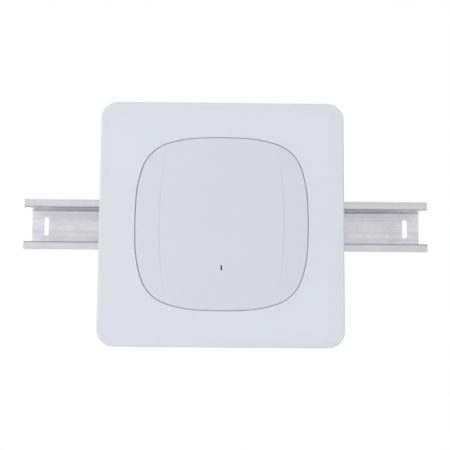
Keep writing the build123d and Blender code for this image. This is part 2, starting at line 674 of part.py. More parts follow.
def jack(x):
    """A network socket: a housing with a plug opening that steps down for the latch."""
    width, depth, _ = JACK
    low, front = SOCKET_LOW, SOCKET_FRONT
    shell = standing(x, front - depth / 2, JACK, low)
    shell = fillet(shell.edges().filter_by(Axis.Y), 0.5)
    plug = block(x - 5.9, x + 5.9, front - 14, front + 1, low + 3.4, low + 11.6)
    latch = block(x - 3.2, x + 3.2, front - 10, front + 1, low + 1.4, low + 4)
    return cut(shell, [plug, latch] + [port_light(x, side, FIT) for side in (-1, 1)])


def port_light(x, side, clear=0.0):
    """The lens in one upper corner of a socket's face, or, with a clearance, its seat."""
    width, depth, height = PORT_LIGHT
    low = SOCKET_LOW + JACK[2] - 0.4 - height - clear
    size = (width + 2 * clear, depth, height + 2 * clear)
    return standing(x + side * PORT_LIGHT_X, SOCKET_FRONT - depth / 2, size, low)


def port_lights():
    """Link and speed lights in the network socket."""
    return group([port_light(ETHERNET_X, side) for side in (-1, 1)])


def jack_contacts(x):
    """Eight sprung wires, sloping down into a network socket."""
    clear = block(x - 5, x + 5, SOCKET_FRONT - 13.9, SOCKET_FRONT, SOCKET_LOW, SOCKET_LOW + 11.5)
    wires = []
    for n in range(8):
        place = Pos(x + (n - 3.5) * CONTACT_PITCH, SOCKET_FRONT - 8.5, SOCKET_LOW + 10.2)
        wires.append((place * Rot(12, 0, 0) * Box(0.4, 9.5, 0.35)) & clear)
    return group(wires)


def usb_port():
    """A sheet-metal socket with its plastic tongue."""
    width, depth, _ = USB
    low, front, half = SOCKET_LOW, SOCKET_FRONT, width / 2
    shell = standing(USB_X, front - depth / 2, USB, low)
    shell = fillet(shell.edges().filter_by(Axis.Y), 0.6)
    mouth = block(USB_X - half + 0.8, USB_X + half - 0.8, front - 12, front + 1, low + 0.9, low + 6.1)
    tongue = block(USB_X - 5.6, USB_X + 5.6, front - 12.2, front - 1.5, low + 3.6, low + 5.4)
    return shell - mouth + tongue


def mode_button():
    """A round push button that slides in the pocket's near wall, with a collar that keeps it in."""
    front = POCKET_NEAR + BUTTON_PROUD
    head = y_rod(BUTTON_X, BUTTON_Z, BUTTON_R, COLLAR_Y - 0.1, front)
    head = fillet(head.edges().filter_by(GeomType.CIRCLE).sort_by(Axis.Y)[-1], 0.5)
    collar = y_rod(BUTTON_X, BUTTON_Z, BUTTON_R + 1.2, COLLAR_Y - BUTTON_COLLAR, COLLAR_Y)
    stem_end = COLLAR_Y - BUTTON_COLLAR - BUTTON_STEM
    return join([head, collar, y_rod(BUTTON_X, BUTTON_Z, 1.4, stem_end, COLLAR_Y)])


def switch_plunger():
    """The switch's own plunger, which the button's stem rests on."""
    return y_rod(BUTTON_X, BUTTON_Z, PLUNGER_R, SWITCH_FRONT - 1.7, SWITCH_FRONT + PLUNGER_PROUD)


def button_switch():
    """A side-acting switch on the board, with a well that its plunger sinks into."""
    x, y = BUTTON_X, SWITCH_FRONT
    body = block(x - 3.5, x + 3.5, y - 4.5, y, SOCKET_LOW, BUTTON_Z + 3)
    body = fillet(body.edges().filter_by(Axis.Y), 0.4)
    return body - y_rod(x, BUTTON_Z, PLUNGER_R + 0.1, y - 3.5, y + 1)


# ---- Circuit board ---------------------------------------------------------------------------------------


def main_board():
    """The circuit board, with its screw holes."""
    middle = (BOARD_Y_HIGH + BOARD_Y_LOW) / 2
    outline = Pos(0, middle) * RectangleRounded(BOARD_X, BOARD_Y_HIGH - BOARD_Y_LOW, 3)
    return cut(prism(outline, BOARD_LOW, BOARD_TOP), [hole(x, y, 1.6) for x, y in BOARD_POSTS])


def board_screws():
    """Screws through the board into the housing's posts."""
    return group([pan_screw(x, y, BOARD_LOW, 2.7, 1.6, 1.35, 8.0, 1.0) for x, y in BOARD_POSTS])


def processor():
    """The main processor, under the housing's pedestal."""
    return chamfer(standing(0, 0, PROCESSOR, BOARD_TOP).edges().filter_by(Axis.Z), 1)


def memory_chips():
    """Memory beside the processor."""
    return group([standing(x, y, MEMORY, BOARD_TOP) for x, y in MEMORY_AT])


def rf_shields():
    """Pressed cans over the radios."""
    cans = []
    for x, y, width, depth in SHIELDS:
        can = standing(x, y, (width, depth, SHIELD_HEIGHT), BOARD_TOP)
        can = fillet(can.edges().filter_by(Axis.Z), 1.5)
        can = chamfer(can.faces().sort_by(Axis.Z)[-1].edges(), 0.4)
        cans.append(can - standing(x, y, (width - 1, depth - 1, SHIELD_HEIGHT - 0.5), BOARD_TOP))
    return group(cans)


def thermal_pad():
    """A soft pad that carries the processor's heat into the pedestal."""
    return standing(0, 0, (PROCESSOR[0], PROCESSOR[1], THERMAL_PAD), BOARD_TOP + PROCESSOR[2])


def poe_transformer():
    """The power transformer's core, open at both sides of its middle leg."""
    x, y = TRANSFORMER_AT
    core = standing(x, y, (14, 16, 11), BOARD_TOP)
    return cut(core, [standing(x + side * 7, y, (8, 10, 7), BOARD_TOP + 2) for side in (-1, 1)])


def network_magnetics():
    """The isolating magnetics between the sockets and the processor."""
    return group([standing(x, y, (12, 10, 6), BOARD_TOP) for x, y in MAGNETICS_AT])


def capacitors():
    """Electrolytic capacitors of the power supply."""
    cans = [rod(x, y, CAPACITOR_R, BOARD_TOP, BOARD_TOP + 10) for x, y in CAPACITORS_AT]
    return group([fillet(can.edges().sort_by(Axis.Z)[-1], 0.6) for can in cans])


def inductors():
    """Shielded inductors of the power supply."""
    blocks = [standing(x, y, INDUCTOR, BOARD_TOP) for x, y in INDUCTORS_AT]
    return group([fillet(b.edges().filter_by(Axis.Z), 1.6) for b in blocks])


# ---- Antennas and light ----------------------------------------------------------------------------------


def antenna_places():
    """Where each antenna's feed stands, and the way its arm points: four corners and the inner four."""
    corners = [(1, 1, 45), (-1, 1, 135), (-1, -1, 225), (1, -1, 315)]
    places = [(sx * CORNER_ANTENNA, sy * CORNER_ANTENNA, turn) for sx, sy, turn in corners]
    return places + INNER_ANTENNAS


def antenna_plate():
    """The aluminium ground plane that the antennas stand on."""
    plate = prism(squircle(-7.0), ANTENNA_PLATE_LOW, ANTENNA_PLATE_TOP)
    tools = [hole(x, y, 5.0) for x, y in COVER_SCREWS]
    tools += [hole(x, y, 1.4) for x, y in ANTENNA_POSTS]
    tools += [hole(x, y, 1.6) for x, y, _ in antenna_places()]
    tools.append(Pos(0, LIGHT_Y) * prism(RectangleRounded(6, 11, 1.5), 0, THROUGH))
    return cut(plate, tools)


def antenna_elements():
    """Stamped inverted-F antennas: a soldered foot, a grounded leg, an arm and a feed pin."""
    low, strip = ANTENNA_LOW, ANTENNA_STRIP
    arm = block(-12, 14, -3, 3, low, low + strip)
    leg = block(-12, strip - 12, -3, 3, low, ANTENNA_PLATE_LOW)
    foot = block(-15, strip - 12, -3, 3, ANTENNA_PLATE_LOW - strip, ANTENNA_PLATE_LOW)
    feed = block(-0.6, 0.6, -0.4, 0.4, low, COAX_LEVEL - COAX_R)
    antenna = join([arm, leg, foot, feed])
    return group([Pos(x, y) * Rot(0, 0, turn) * antenna for x, y, turn in antenna_places()])


def antenna_screws():
    """Screws that hold the antenna plate on the cover's posts."""
    seat = ANTENNA_PLATE_TOP
    screws = [pan_screw(x, y, seat, 2.6, 1.5, 1.25, 6.0, 1.0) for x, y in ANTENNA_POSTS]
    return group([turned_over(screw, seat) for screw in screws])


def coax_leads():
    """Thin screened leads from the corner antennas to the board."""
    leads = []
    for route in COAX_ROUTES:
        path = FilletPolyline(*[(x, y, COAX_LEVEL) for x, y in route], radius=COAX_TURN_R)
        leads.append(sweep(Plane(origin=path @ 0, z_dir=path % 0) * Circle(COAX_R), path=path))
    return group(leads)


def coax_connectors():
    """Snap-on connectors under the board, one at the end of each lead."""
    return group([rod(*route[-1], 1.5, COAX_LEVEL + COAX_R + 0.1, BOARD_LOW) for route in COAX_ROUTES])


def light_pipe():
    """A smoked light guide from the board's light to the slot in the face."""
    slot = Rot(0, 0, 90) * SlotOverall(LIGHT_LENGTH - 0.2, LIGHT_WIDTH - 0.2)
    stem = prism(slot, FACE_LOW + 0.4, BOARD_LOW - 1)
    inner = FACE_LOW + COVER_WALL + 0.4
    flange = prism(RectangleRounded(4.4, 9.0, 1.0), inner, inner + 1)
    return Pos(0, LIGHT_Y) * (stem + flange)


def status_led():
    """The status light itself, under the board."""
    return standing(0, LIGHT_Y, (3.2, 2.8, 0.8), BOARD_LOW - 0.8)


# ---- Write every piece -----------------------------------------------------------------------------------

PIECES = {
    "trim_plate": trim_plate,
    "ceiling_gasket": ceiling_gasket,
    "magnet_studs": magnet_studs,
    "magnet_lock_nuts": magnet_lock_nuts,
    "magnet_cups": magnet_cups,
    "magnet_discs": magnet_discs,
    "hanger_rail": hanger_rail,
    "cable_grommet": cable_grommet,
    "mounting_bracket": mounting_bracket,
    "bracket_spacers": bracket_spacers,
    "bracket_bolts": bracket_bolts,
    "bracket_nuts": bracket_nuts,
    "lock_slider": lock_slider,
    "lock_slider_rivets": lock_slider_rivets,
    "front_cover": front_cover,
    "rear_housing": rear_housing,
    "housing_gasket": housing_gasket,
    "mounting_feet": mounting_feet,
    "cover_screws": cover_screws,
    "ground_screw": ground_screw,
    "rating_label": rating_label,
    "ethernet_jack": partial(jack, ETHERNET_X),
    "ethernet_contacts": partial(jack_contacts, ETHERNET_X),
    "port_lights": port_lights,
    "console_jack": partial(jack, CONSOLE_X),
    "console_contacts": partial(jack_contacts, CONSOLE_X),
    "usb_port": usb_port,
    "mode_button": mode_button,
    "switch_plunger": switch_plunger,
    "button_switch": button_switch,
    "main_board": main_board,
    "board_screws": board_screws,
    "processor": processor,
    "memory_chips": memory_chips,
    "rf_shields": rf_shields,
    "thermal_pad": thermal_pad,
    "poe_transformer": poe_transformer,
    "network_magnetics": network_magnetics,
    "capacitors": capacitors,
    "inductors": inductors,
    "antenna_plate": antenna_plate,
    "antenna_elements": antenna_elements,
    "antenna_screws": antenna_screws,
    "coax_leads": coax_leads,
    "coax_connectors": coax_connectors,
    "light_pipe": light_pipe,
    "status_led": status_led,
}

os.makedirs("parts", exist_ok=True)
for node, build in PIECES.items():
    export_step(build(), f"parts/{node}.step")
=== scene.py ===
import json
import math

import bmesh
import bpy
from mathutils import Matrix, Vector, noise


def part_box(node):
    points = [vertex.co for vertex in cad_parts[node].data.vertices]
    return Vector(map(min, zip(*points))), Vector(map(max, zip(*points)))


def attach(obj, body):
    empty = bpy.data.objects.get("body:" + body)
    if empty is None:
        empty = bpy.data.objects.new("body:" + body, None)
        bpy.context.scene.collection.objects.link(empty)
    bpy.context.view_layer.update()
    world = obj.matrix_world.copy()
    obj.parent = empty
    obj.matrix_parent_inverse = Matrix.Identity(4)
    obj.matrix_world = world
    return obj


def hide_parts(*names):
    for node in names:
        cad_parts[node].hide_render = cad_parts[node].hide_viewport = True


# A flush ceiling access point, seen from below. The frame is in metres: +Z points up into the ceiling, X
# runs along the rail, and the status light is towards -Y.

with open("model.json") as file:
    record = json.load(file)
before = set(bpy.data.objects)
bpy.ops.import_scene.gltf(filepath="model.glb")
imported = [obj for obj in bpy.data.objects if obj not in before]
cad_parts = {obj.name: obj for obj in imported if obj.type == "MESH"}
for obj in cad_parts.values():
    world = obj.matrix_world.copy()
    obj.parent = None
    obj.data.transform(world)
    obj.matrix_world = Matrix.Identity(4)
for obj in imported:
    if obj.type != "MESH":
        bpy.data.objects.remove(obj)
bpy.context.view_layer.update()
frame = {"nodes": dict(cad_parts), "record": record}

MM = 0.001

# ---- Nodes of a material -----------------------------------------------------------------------------


class Paint:
    """A material with one Principled shader, and short calls for the nodes that feed it."""

    def __init__(self, name, **sockets):
        self.material = bpy.data.materials.new(name)
        self.material.use_nodes = True
        self.tree = self.material.node_tree
        self.tree.nodes.clear()
        self.shader = self.tree.nodes.new("ShaderNodeBsdfPrincipled")
        output = self.tree.nodes.new("ShaderNodeOutputMaterial")
        self.tree.links.new(self.shader.outputs[0], output.inputs[0])
        self.place = self.tree.nodes.new("ShaderNodeTexCoord").outputs["Object"]
        self.normal = None
        for socket, value in sockets.items():
            self.set(socket, value)

    def feed(self, target, value):
        """Links an input to another node's output, or gives it a plain value."""
        if isinstance(value, bpy.types.NodeSocket):
            self.tree.links.new(value, target)
        elif target.type == "RGBA":
            target.default_value = (*value, 1.0)
        else:
            target.default_value = value

    def set(self, socket, value):
        """Feeds one of the shader's own inputs."""
        self.feed(self.shader.inputs[socket], value)

    def add(self, kind, inputs, output, **settings):
        """A node with its settings and inputs, returned as one of its outputs."""
        node = self.tree.nodes.new("ShaderNode" + kind)
        for setting, value in settings.items():
            setattr(node, setting, value)
        for key, value in inputs.items():
            self.feed(node.inputs[key], value)
        return node.outputs[output]

    def stretch(self, x, y, z):
        """The object's own coordinates, scaled along each axis."""
        return self.add("Mapping", {"Vector": self.place, "Scale": (x, y, z)}, "Vector")

    def distance(self, at):
        """How far coordinates lie from their origin."""
        return self.add("VectorMath", {0: at}, "Value", operation="LENGTH")

    def noise(self, size, detail, at=None):
        """Cloudy noise from 0 to 1, whose lumps are about size metres across."""
        inputs = {"Vector": at or self.place, "Scale": 1 / size, "Detail": detail}
        return self.add("TexNoise", inputs, "Fac")

    def cells(self, size, output):
        """Random cells about size metres across."""
        return self.add("TexVoronoi", {"Vector": self.place, "Scale": 1 / size}, output)

    def spread(self, value, low, high, to_low=0.0, to_high=1.0):
        """Stretches the part of a value between low and high over a new range."""
        inputs = {"Value": value, "From Min": low, "From Max": high, "To Min": to_low, "To Max": to_high}
        return self.add("MapRange", inputs, "Result")

    def blend(self, amount, under, over):
        """One colour that gives way to another."""
        return self.add("Mix", {0: amount, 6: under, 7: over}, 2, data_type="RGBA")

    def maths(self, operation, first, second=0.0):
        """Arithmetic on one or two numbers."""
        return self.add("Math", {0: first, 1: second}, 0, operation=operation)

    def roughen(self, cloud, low, high):
        """Roughness that runs from low to high with a noise, which seldom leaves 0.3 to 0.7."""
        self.set("Roughness", self.spread(cloud, 0.3, 0.7, low, high))

    def bump(self, height, depth):
        """Raises the surface by a height from 0 to 1 times depth metres, on top of earlier bumps."""
        inputs = {"Height": height, "Distance": depth, "Strength": 1.0}
        if self.normal is not None:
            inputs["Normal"] = self.normal
        self.normal = self.add("Bump", inputs, "Normal")
        self.set("Normal", self.normal)

    def soft_edges(self, radius):
        """Rounds the look of sharp edges."""
        self.normal = self.add("Bevel", {"Radius": radius}, "Normal", samples=4)
        self.set("Normal", self.normal)


# ---- Materials, one for each slot of the record ------------------------------------------------------


def white_moulding(name):
    """The slightly translucent white plastic that the trim plate and the radome share."""
    paint = Paint(name, IOR=1.49)
    paint.set("Subsurface Weight", 0.5)
    paint.set("Subsurface Radius", (2 * MM, 2 * MM, 2 * MM))
    paint.set("Subsurface Scale", 1.0)
    paint.soft_edges(0.25 * MM)
    return paint


def white_plastic():
    """Moulded white plastic with a fine matt texture, and a trace of unevenness over the whole plate."""
    paint = white_moulding("white_plastic")
    cloud = paint.noise(60 * MM, 3)
    paint.set("Base Color", paint.blend(cloud, (0.750, 0.774, 0.832), (0.772, 0.793, 0.848)))
    paint.roughen(paint.noise(8 * MM, 4), 0.38, 0.47)
    paint.bump(paint.noise(0.35 * MM, 3), 0.012 * MM)
    return paint.material


CREASE_X = 77.5 * MM        # where each crease crosses the X axis
CREASE_BOW_R = 553 * MM
CREASE_WIDTH = 1.6 * MM
CREASE_END = 98 * MM        # how far the creases reach from the X axis
CREASE_FADE = 0.3           # share of that reach where the fading starts
CREASE_SHADE = 0.35         # how much of the painted grey shade shows in the middle of a crease


def crease_shade_mask(paint):
    """Where the shade along the creases is painted: 1 along the bowed creases of the radome's face, fading
    to 0 beside them and towards their ends.
    """
    mirrored = paint.add("VectorMath", {0: paint.place}, "Vector", operation="ABSOLUTE")
    flat = {"Vector": mirrored, "Location": (CREASE_BOW_R - CREASE_X, 0, 0), "Scale": (1, 1, 0)}
    reach = paint.distance(paint.add("Mapping", flat, "Vector"))
    away = paint.maths("ABSOLUTE", paint.maths("SUBTRACT", reach, CREASE_BOW_R))
    along = paint.add("SeparateXYZ", {"Vector": mirrored}, "Y")
    near = paint.spread(away, 0.0, CREASE_WIDTH, 1.0, 0.0)
    inner = paint.spread(along, CREASE_FADE * CREASE_END, CREASE_END, 1.0, 0.0)
    return paint.maths("MULTIPLY", near, inner)


def cover_plastic():
    """The radome's smoother satin white, with painted shade: a grey line along each of its creases."""
    paint = white_moulding("cover_plastic")
    colour = paint.blend(paint.noise(80 * MM, 2), (0.725, 0.747, 0.818), (0.744, 0.765, 0.834))
    # painted shade: a grey line along each crease
    crease = paint.maths("MULTIPLY", crease_shade_mask(paint), CREASE_SHADE)
    paint.set("Base Color", paint.blend(crease, colour, (0.54, 0.56, 0.62)))
    paint.roughen(paint.noise(10 * MM, 4), 0.33, 0.40)
    paint.bump(paint.noise(0.5 * MM, 3), 0.006 * MM)
    return paint.material


def foam():
    """Closed-cell foam: small bright and dark cells under a thin skin."""
    paint = Paint("foam", Roughness=0.9)
    cells = paint.cells(0.5 * MM, "Distance")
    dark = paint.spread(cells, 0.0, 0.6)
    paint.set("Base Color", paint.blend(dark, (0.085, 0.085, 0.09), (0.03, 0.03, 0.033)))
    paint.bump(cells, 0.12 * MM)
    paint.bump(paint.noise(3 * MM, 3), 0.15 * MM)
    return paint.material


RAIL_PAINTED_DARK_LEVEL = 15 * MM   # painted light: the lips are painted darkest up to this level, darker than the web inside the channel, so that the web looks as well lit as the lips
RAIL_PAINTED_DARK_END = 46 * MM  # and not painted darker from here up


def galvanised_steel():
    """Galvanised strip: frosted zinc crystals, faint rolling lines along X, darker patches at random, and
    painted light: the lips painted darker than the web, so that the web in the channel looks as well lit
    as the lips.
    """
    paint = Paint("galvanised_steel", Metallic=1.0)
    paint.soft_edges(0.3 * MM)
    crystals = paint.add("SeparateColor", {"Color": paint.cells(5 * MM, "Color")}, "Red")
    cloud = paint.noise(26 * MM, 5)
    rolled = paint.stretch(0.02, 1, 1)
    lines = paint.noise(1 * MM, 3, rolled)
    streaks = paint.noise(5 * MM, 2, rolled)
    height = paint.add("SeparateXYZ", {"Vector": paint.place}, "Z")
    # painted light: darker towards the lips, so that the web in the channel looks as well lit as the lips
    painted_lip_darkening = paint.spread(height, RAIL_PAINTED_DARK_LEVEL, RAIL_PAINTED_DARK_END, 0.45, 0.0)
    colour = paint.blend(crystals, (0.765, 0.755, 0.795), (0.815, 0.805, 0.845))
    colour = paint.blend(paint.spread(cloud, 0.42, 0.75, 0, 0.55), colour, (0.62, 0.61, 0.65))
    # the painted darker grey of the lips
    colour = paint.blend(painted_lip_darkening, colour, (0.58, 0.57, 0.61))
    colour = paint.blend(paint.spread(streaks, 0.45, 0.7, 0, 0.35), colour, (0.54, 0.53, 0.565))
    paint.set("Base Color", colour)
    grain = paint.maths("ADD", paint.maths("MULTIPLY", crystals, 0.10), lines)
    paint.set("Roughness", paint.spread(grain, -0.3, 0.7, 0.26, 0.44))
    paint.bump(lines, 0.02 * MM)
    paint.bump(cloud, 0.05 * MM)
    return paint.material


COOLER = (0.90, 0.94, 1.02)  # what zinc plate's colour is multiplied by where it is cooler


def zinc(name, colour, size):
    """Bright zinc plate over bead-blasted or stamped steel."""
    paint = Paint(name, Metallic=1.0)
    paint.soft_edges(0.2 * MM)
    cool = tuple(level * factor for level, factor in zip(colour, COOLER))
    paint.set("Base Color", paint.blend(paint.spread(paint.noise(size, 4), 0.3, 0.7), colour, cool))
    paint.roughen(paint.noise(size / 6, 3), 0.26, 0.44)
    paint.bump(paint.noise(1.2 * MM, 2), 0.008 * MM)
    return paint.material


def zinc_plate():
    return zinc("zinc_plate", (0.66, 0.65, 0.62), 22 * MM)


def screw_steel():
    return zinc("screw_steel", (0.60, 0.60, 0.59), 4 * MM)


def magnet_nickel():
    """Bright nickel, with the fine scuffs that magnets pick up."""
    paint = Paint("magnet_nickel", Metallic=1.0)
    paint.set("Base Color", (0.70, 0.68, 0.63))
    scuffs = paint.noise(1.2 * MM, 6, paint.stretch(0.3, 1, 1))
    paint.set("Roughness", paint.spread(scuffs, 0.4, 0.75, 0.12, 0.38))
    paint.bump(scuffs, 0.006 * MM)
    return paint.material


def die_cast():
    """Die-cast aluminium under a light grey powder coat, with a sandy grain and flow marks."""
    paint = Paint("die_cast", Metallic=0.55)
    paint.soft_edges(0.4 * MM)
    flow = paint.noise(30 * MM, 5, paint.stretch(1, 0.35, 1))
    marks = paint.spread(flow, 0.3, 0.75)
    paint.set("Base Color", paint.blend(marks, (0.55, 0.56, 0.57), (0.45, 0.46, 0.475)))
    paint.roughen(flow, 0.42, 0.58)
    paint.bump(paint.noise(0.45 * MM, 4), 0.05 * MM)
    return paint.material


def soft_moulding(name, colour, roughness, grain):
    """Rubber or silicone: a dull skin with dust in its grain."""
    paint = Paint(name, Roughness=roughness)
    dust = paint.spread(paint.noise(grain * 5, 5), 0.5, 0.9, 0, 0.35)
    paint.set("Base Color", paint.blend(dust, colour, tuple(min(1, level + 0.12) for level in colour)))
    paint.bump(paint.noise(grain, 3), grain * 0.06)
    return paint.material


def black_rubber():
    return soft_moulding("black_rubber", (0.022, 0.022, 0.023), 0.62, 0.6 * MM)


def grey_silicone():
    return soft_moulding("grey_silicone", (0.22, 0.225, 0.23), 0.5, 0.5 * MM)


def thermal_silicone():
    return soft_moulding("thermal_silicone", (0.33, 0.38, 0.52), 0.7, 0.8 * MM)


def coax_jacket():
    return soft_moulding("coax_jacket", (0.03, 0.03, 0.033), 0.4, 0.3 * MM)


def plain_moulding(name, colour, roughness, grain, depth):
    """A small injection moulding, with the tool's fine texture."""
    paint = Paint(name)
    paint.soft_edges(0.12 * MM)
    paint.roughen(paint.noise(grain * 12, 3), roughness - 0.05, roughness + 0.08)
    paler = tuple(level * 1.15 for level in colour)
    paint.set("Base Color", paint.blend(paint.noise(grain * 30, 3), colour, paler))
    paint.bump(paint.noise(grain, 2), depth)
    return paint.material


def label_film():
    return plain_moulding("label_film", (0.70, 0.70, 0.68), 0.3, 1.5 * MM, 0.006 * MM)


def socket_plastic():
    return plain_moulding("socket_plastic", (0.018, 0.018, 0.019), 0.35, 0.25 * MM, 0.006 * MM)


def button_grey():
    return plain_moulding("button_grey", (0.13, 0.135, 0.14), 0.4, 0.25 * MM, 0.008 * MM)


def switch_black():
    return plain_moulding("switch_black", (0.025, 0.025, 0.026), 0.4, 0.25 * MM, 0.006 * MM)


def chip_black():
    return plain_moulding("chip_black", (0.022, 0.022, 0.024), 0.55, 0.2 * MM, 0.01 * MM)


def ferrite():
    return plain_moulding("ferrite", (0.04, 0.04, 0.042), 0.5, 0.3 * MM, 0.015 * MM)


def led_epoxy():
    return plain_moulding("led_epoxy", (0.75, 0.75, 0.62), 0.2, 0.3 * MM, 0.002 * MM)


def bright_metal(name, colour, roughness, size):
    """Plated or rolled sheet metal with fine lines along X."""
    paint = Paint(name, Metallic=1.0)
    paint.soft_edges(0.1 * MM)
    lines = paint.noise(size, 4, paint.stretch(0.04, 1, 1))
    darker = tuple(level * 0.88 for level in colour)
    paint.set("Base Color", paint.blend(paint.noise(size * 20, 3), colour, darker))
    paint.roughen(lines, roughness - 0.06, roughness + 0.1)
    paint.bump(lines, size * 0.02)
    return paint.material


def contact_gold():
    return bright_metal("contact_gold", (0.83, 0.62, 0.24), 0.2, 0.2 * MM)


def usb_steel():
    return bright_metal("usb_steel", (0.62, 0.62, 0.61), 0.28, 0.3 * MM)


def shield_tin():
    return bright_metal("shield_tin", (0.66, 0.66, 0.65), 0.3, 0.4 * MM)


def capacitor_can():
    return bright_metal("capacitor_can", (0.70, 0.70, 0.72), 0.3, 0.4 * MM)


def antenna_aluminium():
    return bright_metal("antenna_aluminium", (0.74, 0.75, 0.76), 0.34, 0.6 * MM)


def antenna_brass():
    return bright_metal("antenna_brass", (0.75, 0.62, 0.34), 0.3, 0.4 * MM)


def circuit_board():
    """Green solder mask with paler traces showing through it."""
    paint = Paint("circuit_board")
    traces = paint.add("TexBrick", {"Vector": paint.place, "Scale": 220.0, "Mortar Size": 0.06}, "Fac")
    paint.set("Base Color", paint.blend(traces, (0.010, 0.085, 0.040), (0.035, 0.17, 0.075)))
    paint.roughen(paint.noise(2 * MM, 3), 0.26, 0.40)
    paint.bump(traces, 0.02 * MM)
    return paint.material


def smoked_lens():
    """Smoked plastic that looks black until it is lit."""
    paint = Paint("smoked_lens", IOR=1.58)
    paint.set("Base Color", (0.006, 0.006, 0.008))
    paint.roughen(paint.noise(1 * MM, 3), 0.09, 0.17)
    paint.bump(paint.noise(0.8 * MM, 2), 0.002 * MM)
    return paint.material


FINISHES = [
    white_plastic, cover_plastic, foam, galvanised_steel, zinc_plate, screw_steel, magnet_nickel,
    die_cast, black_rubber, grey_silicone, thermal_silicone, coax_jacket, label_film, socket_plastic,
    button_grey, switch_black, chip_black, ferrite, led_epoxy, contact_gold, usb_steel, shield_tin,
    capacitor_can, antenna_aluminium, antenna_brass, circuit_board, smoked_lens,
]


def give(piece, material):
    """Puts one material on a piece, in every slot it has."""
    slots = piece.data.materials
    for index in range(len(slots)):
        slots[index] = material
    if not slots:
        slots.append(material)


def dress_nodes(materials):
    """Gives every CAD node the material of its slot in the record."""
    for part in frame["record"]["subparts"]:
        give(frame["nodes"][part["node"]], materials[part["material_slot"]])


# ---- Tools for the pieces made here ------------------------------------------------------------------

TOUCHING = 0.001 * MM       # corners this close are one corner
SPUN_SIDES = 48


def new_piece(name, body, corners, faces, node, material):
    """A mesh that rides on a body, stands for a CAD node, and takes its finish from a slot."""
    mesh = bpy.data.meshes.new(name)
    mesh.from_pydata([tuple(corner) for corner in corners], [], faces)
    mesh.validate()
    work = bmesh.new()
    work.from_mesh(mesh)
    bmesh.ops.recalc_face_normals(work, faces=work.faces)
    work.to_mesh(mesh)
    work.free()
    piece = bpy.data.objects.new(name, mesh)
    bpy.context.scene.collection.objects.link(piece)
    give(piece, material)
    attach(piece, body)
    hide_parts(node)
    return piece


def smooth(piece, angle):
    """Shades a piece smoothly, except over edges sharper than the angle in degrees."""
    piece.data.shade_smooth()
    piece.data.set_sharp_from_angle(angle=math.radians(angle))


def middle_places(node):
    """The middles of a node's separate solids, seen from above."""
    work = bmesh.new()
    work.from_mesh(frame["nodes"][node].data)
    bmesh.ops.remove_doubles(work, verts=work.verts, dist=TOUCHING)
    places = []
    left = set(work.verts)
    while left:
        island = [left.pop()]
        for vert in island:
            near = [edge.other_vert(vert) for edge in vert.link_edges]
            fresh = [v for v in near if v in left]
            left.difference_update(fresh)
            island.extend(fresh)
        xs = [v.co.x for v in island]
        ys = [v.co.y for v in island]
        places.append(((min(xs) + max(xs)) / 2, (min(ys) + max(ys)) / 2))
    work.free()
    return sorted(places)


def ring_faces(first, rings, wide):
    """Faces over rings of corners numbered from first, with a flat face over each end ring."""
    faces = []
    for ring in range(rings - 1):
        for n in range(wide):
            a = first + ring * wide + n
            b = first + ring * wide + (n + 1) % wide
            faces.append((a, b, b + wide, a + wide))
    last = first + (rings - 1) * wide
    faces.append([first + n for n in reversed(range(wide))])
    faces.append([last + n for n in range(wide)])
    return faces


def spun(places, rings):
    """Corners and faces turned about an upright axis at each place. A ring is its level and its radius,
    which is a number or a function of the angle."""
    corners = []
    faces = []
    for x, y in places:
        first = len(corners)
        for level, radius in rings:
            for side in range(SPUN_SIDES):
                turn = 2 * math.pi * side / SPUN_SIDES
                r = radius(turn) if callable(radius) else radius
                corners.append((x + r * math.cos(turn), y + r * math.sin(turn), level))
        faces += ring_faces(first, len(rings), SPUN_SIDES)
    return corners, faces


# ---- Threaded studs and bolts ------------------------------------------------------------------------

THREAD_DEPTH = 0.58         # of the pitch
THREAD_RINGS = 8            # rings of corners to each turn of the thread
THREAD_FLAT = 1.15          # over 1, so that the crests are flat
THREAD_CHAMFER = 0.8        # how fast the last turn tapers
THREAD_SHARP = 38           # degrees over which a fastener's edges stay sharp

STUD_R = 1.95 * MM
STUD_PITCH = 0.7 * MM

BOLT_PITCH = 0.8 * MM
BOLT_SHANK_R = 2.45 * MM
BOLT_NECK = 0.4 * MM        # plain shank between the head and the thread
BOLT_HEAD_R = 4.6 * MM
BOLT_HEAD = 3.0 * MM
BOLT_DOME = 0.55 * BOLT_HEAD
BOLT_DOME_STEPS = 6
BOLT_RIM = 0.1 * MM         # broken edge under the head
BOLT_KEY = 1.6 * MM         # half the width of the hexagonal recess
BOLT_KEY_DEPTH = 0.6 * BOLT_HEAD
BOLT_KEY_MOUTH = 0.15 * MM  # chamfer at the recess's mouth
BOLT_KEY_CORE = 0.4 * MM    # radius of the face that closes its floor


def hexagonal(apothem):
    """The radius of a hexagon, as a function of the angle."""
    return lambda turn: apothem / math.cos((turn + math.pi / 6) % (math.pi / 3) - math.pi / 6)


def thread(low, high, r, pitch):
    """Rings of a screw thread between two levels, with a chamfer at the high end."""
    step = pitch / THREAD_RINGS
    rings = []
    for n in range(int((high - low) / step) + 1):
        level = low + n * step
        crest = r - max(0.0, level - (high - pitch)) * THREAD_CHAMFER

        def radius(turn, level=level, crest=crest):
            wave = abs(((level / pitch - turn / (2 * math.pi)) % 1.0) * 2 - 1)
            return min(crest, r - THREAD_DEPTH * pitch * (1 - min(1.0, THREAD_FLAT * wave)))

        rings.append((level, radius))
    return rings


def magnet_studs(material):
    """Threaded studs between the trim plate's bosses and the magnet cups."""
    low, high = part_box("magnet_studs")
    corners, faces = spun(middle_places("magnet_studs"), thread(low.z, high.z, STUD_R, STUD_PITCH))
    piece = new_piece("threaded_studs", "trim", corners, faces, "magnet_studs", material)
    smooth(piece, THREAD_SHARP)


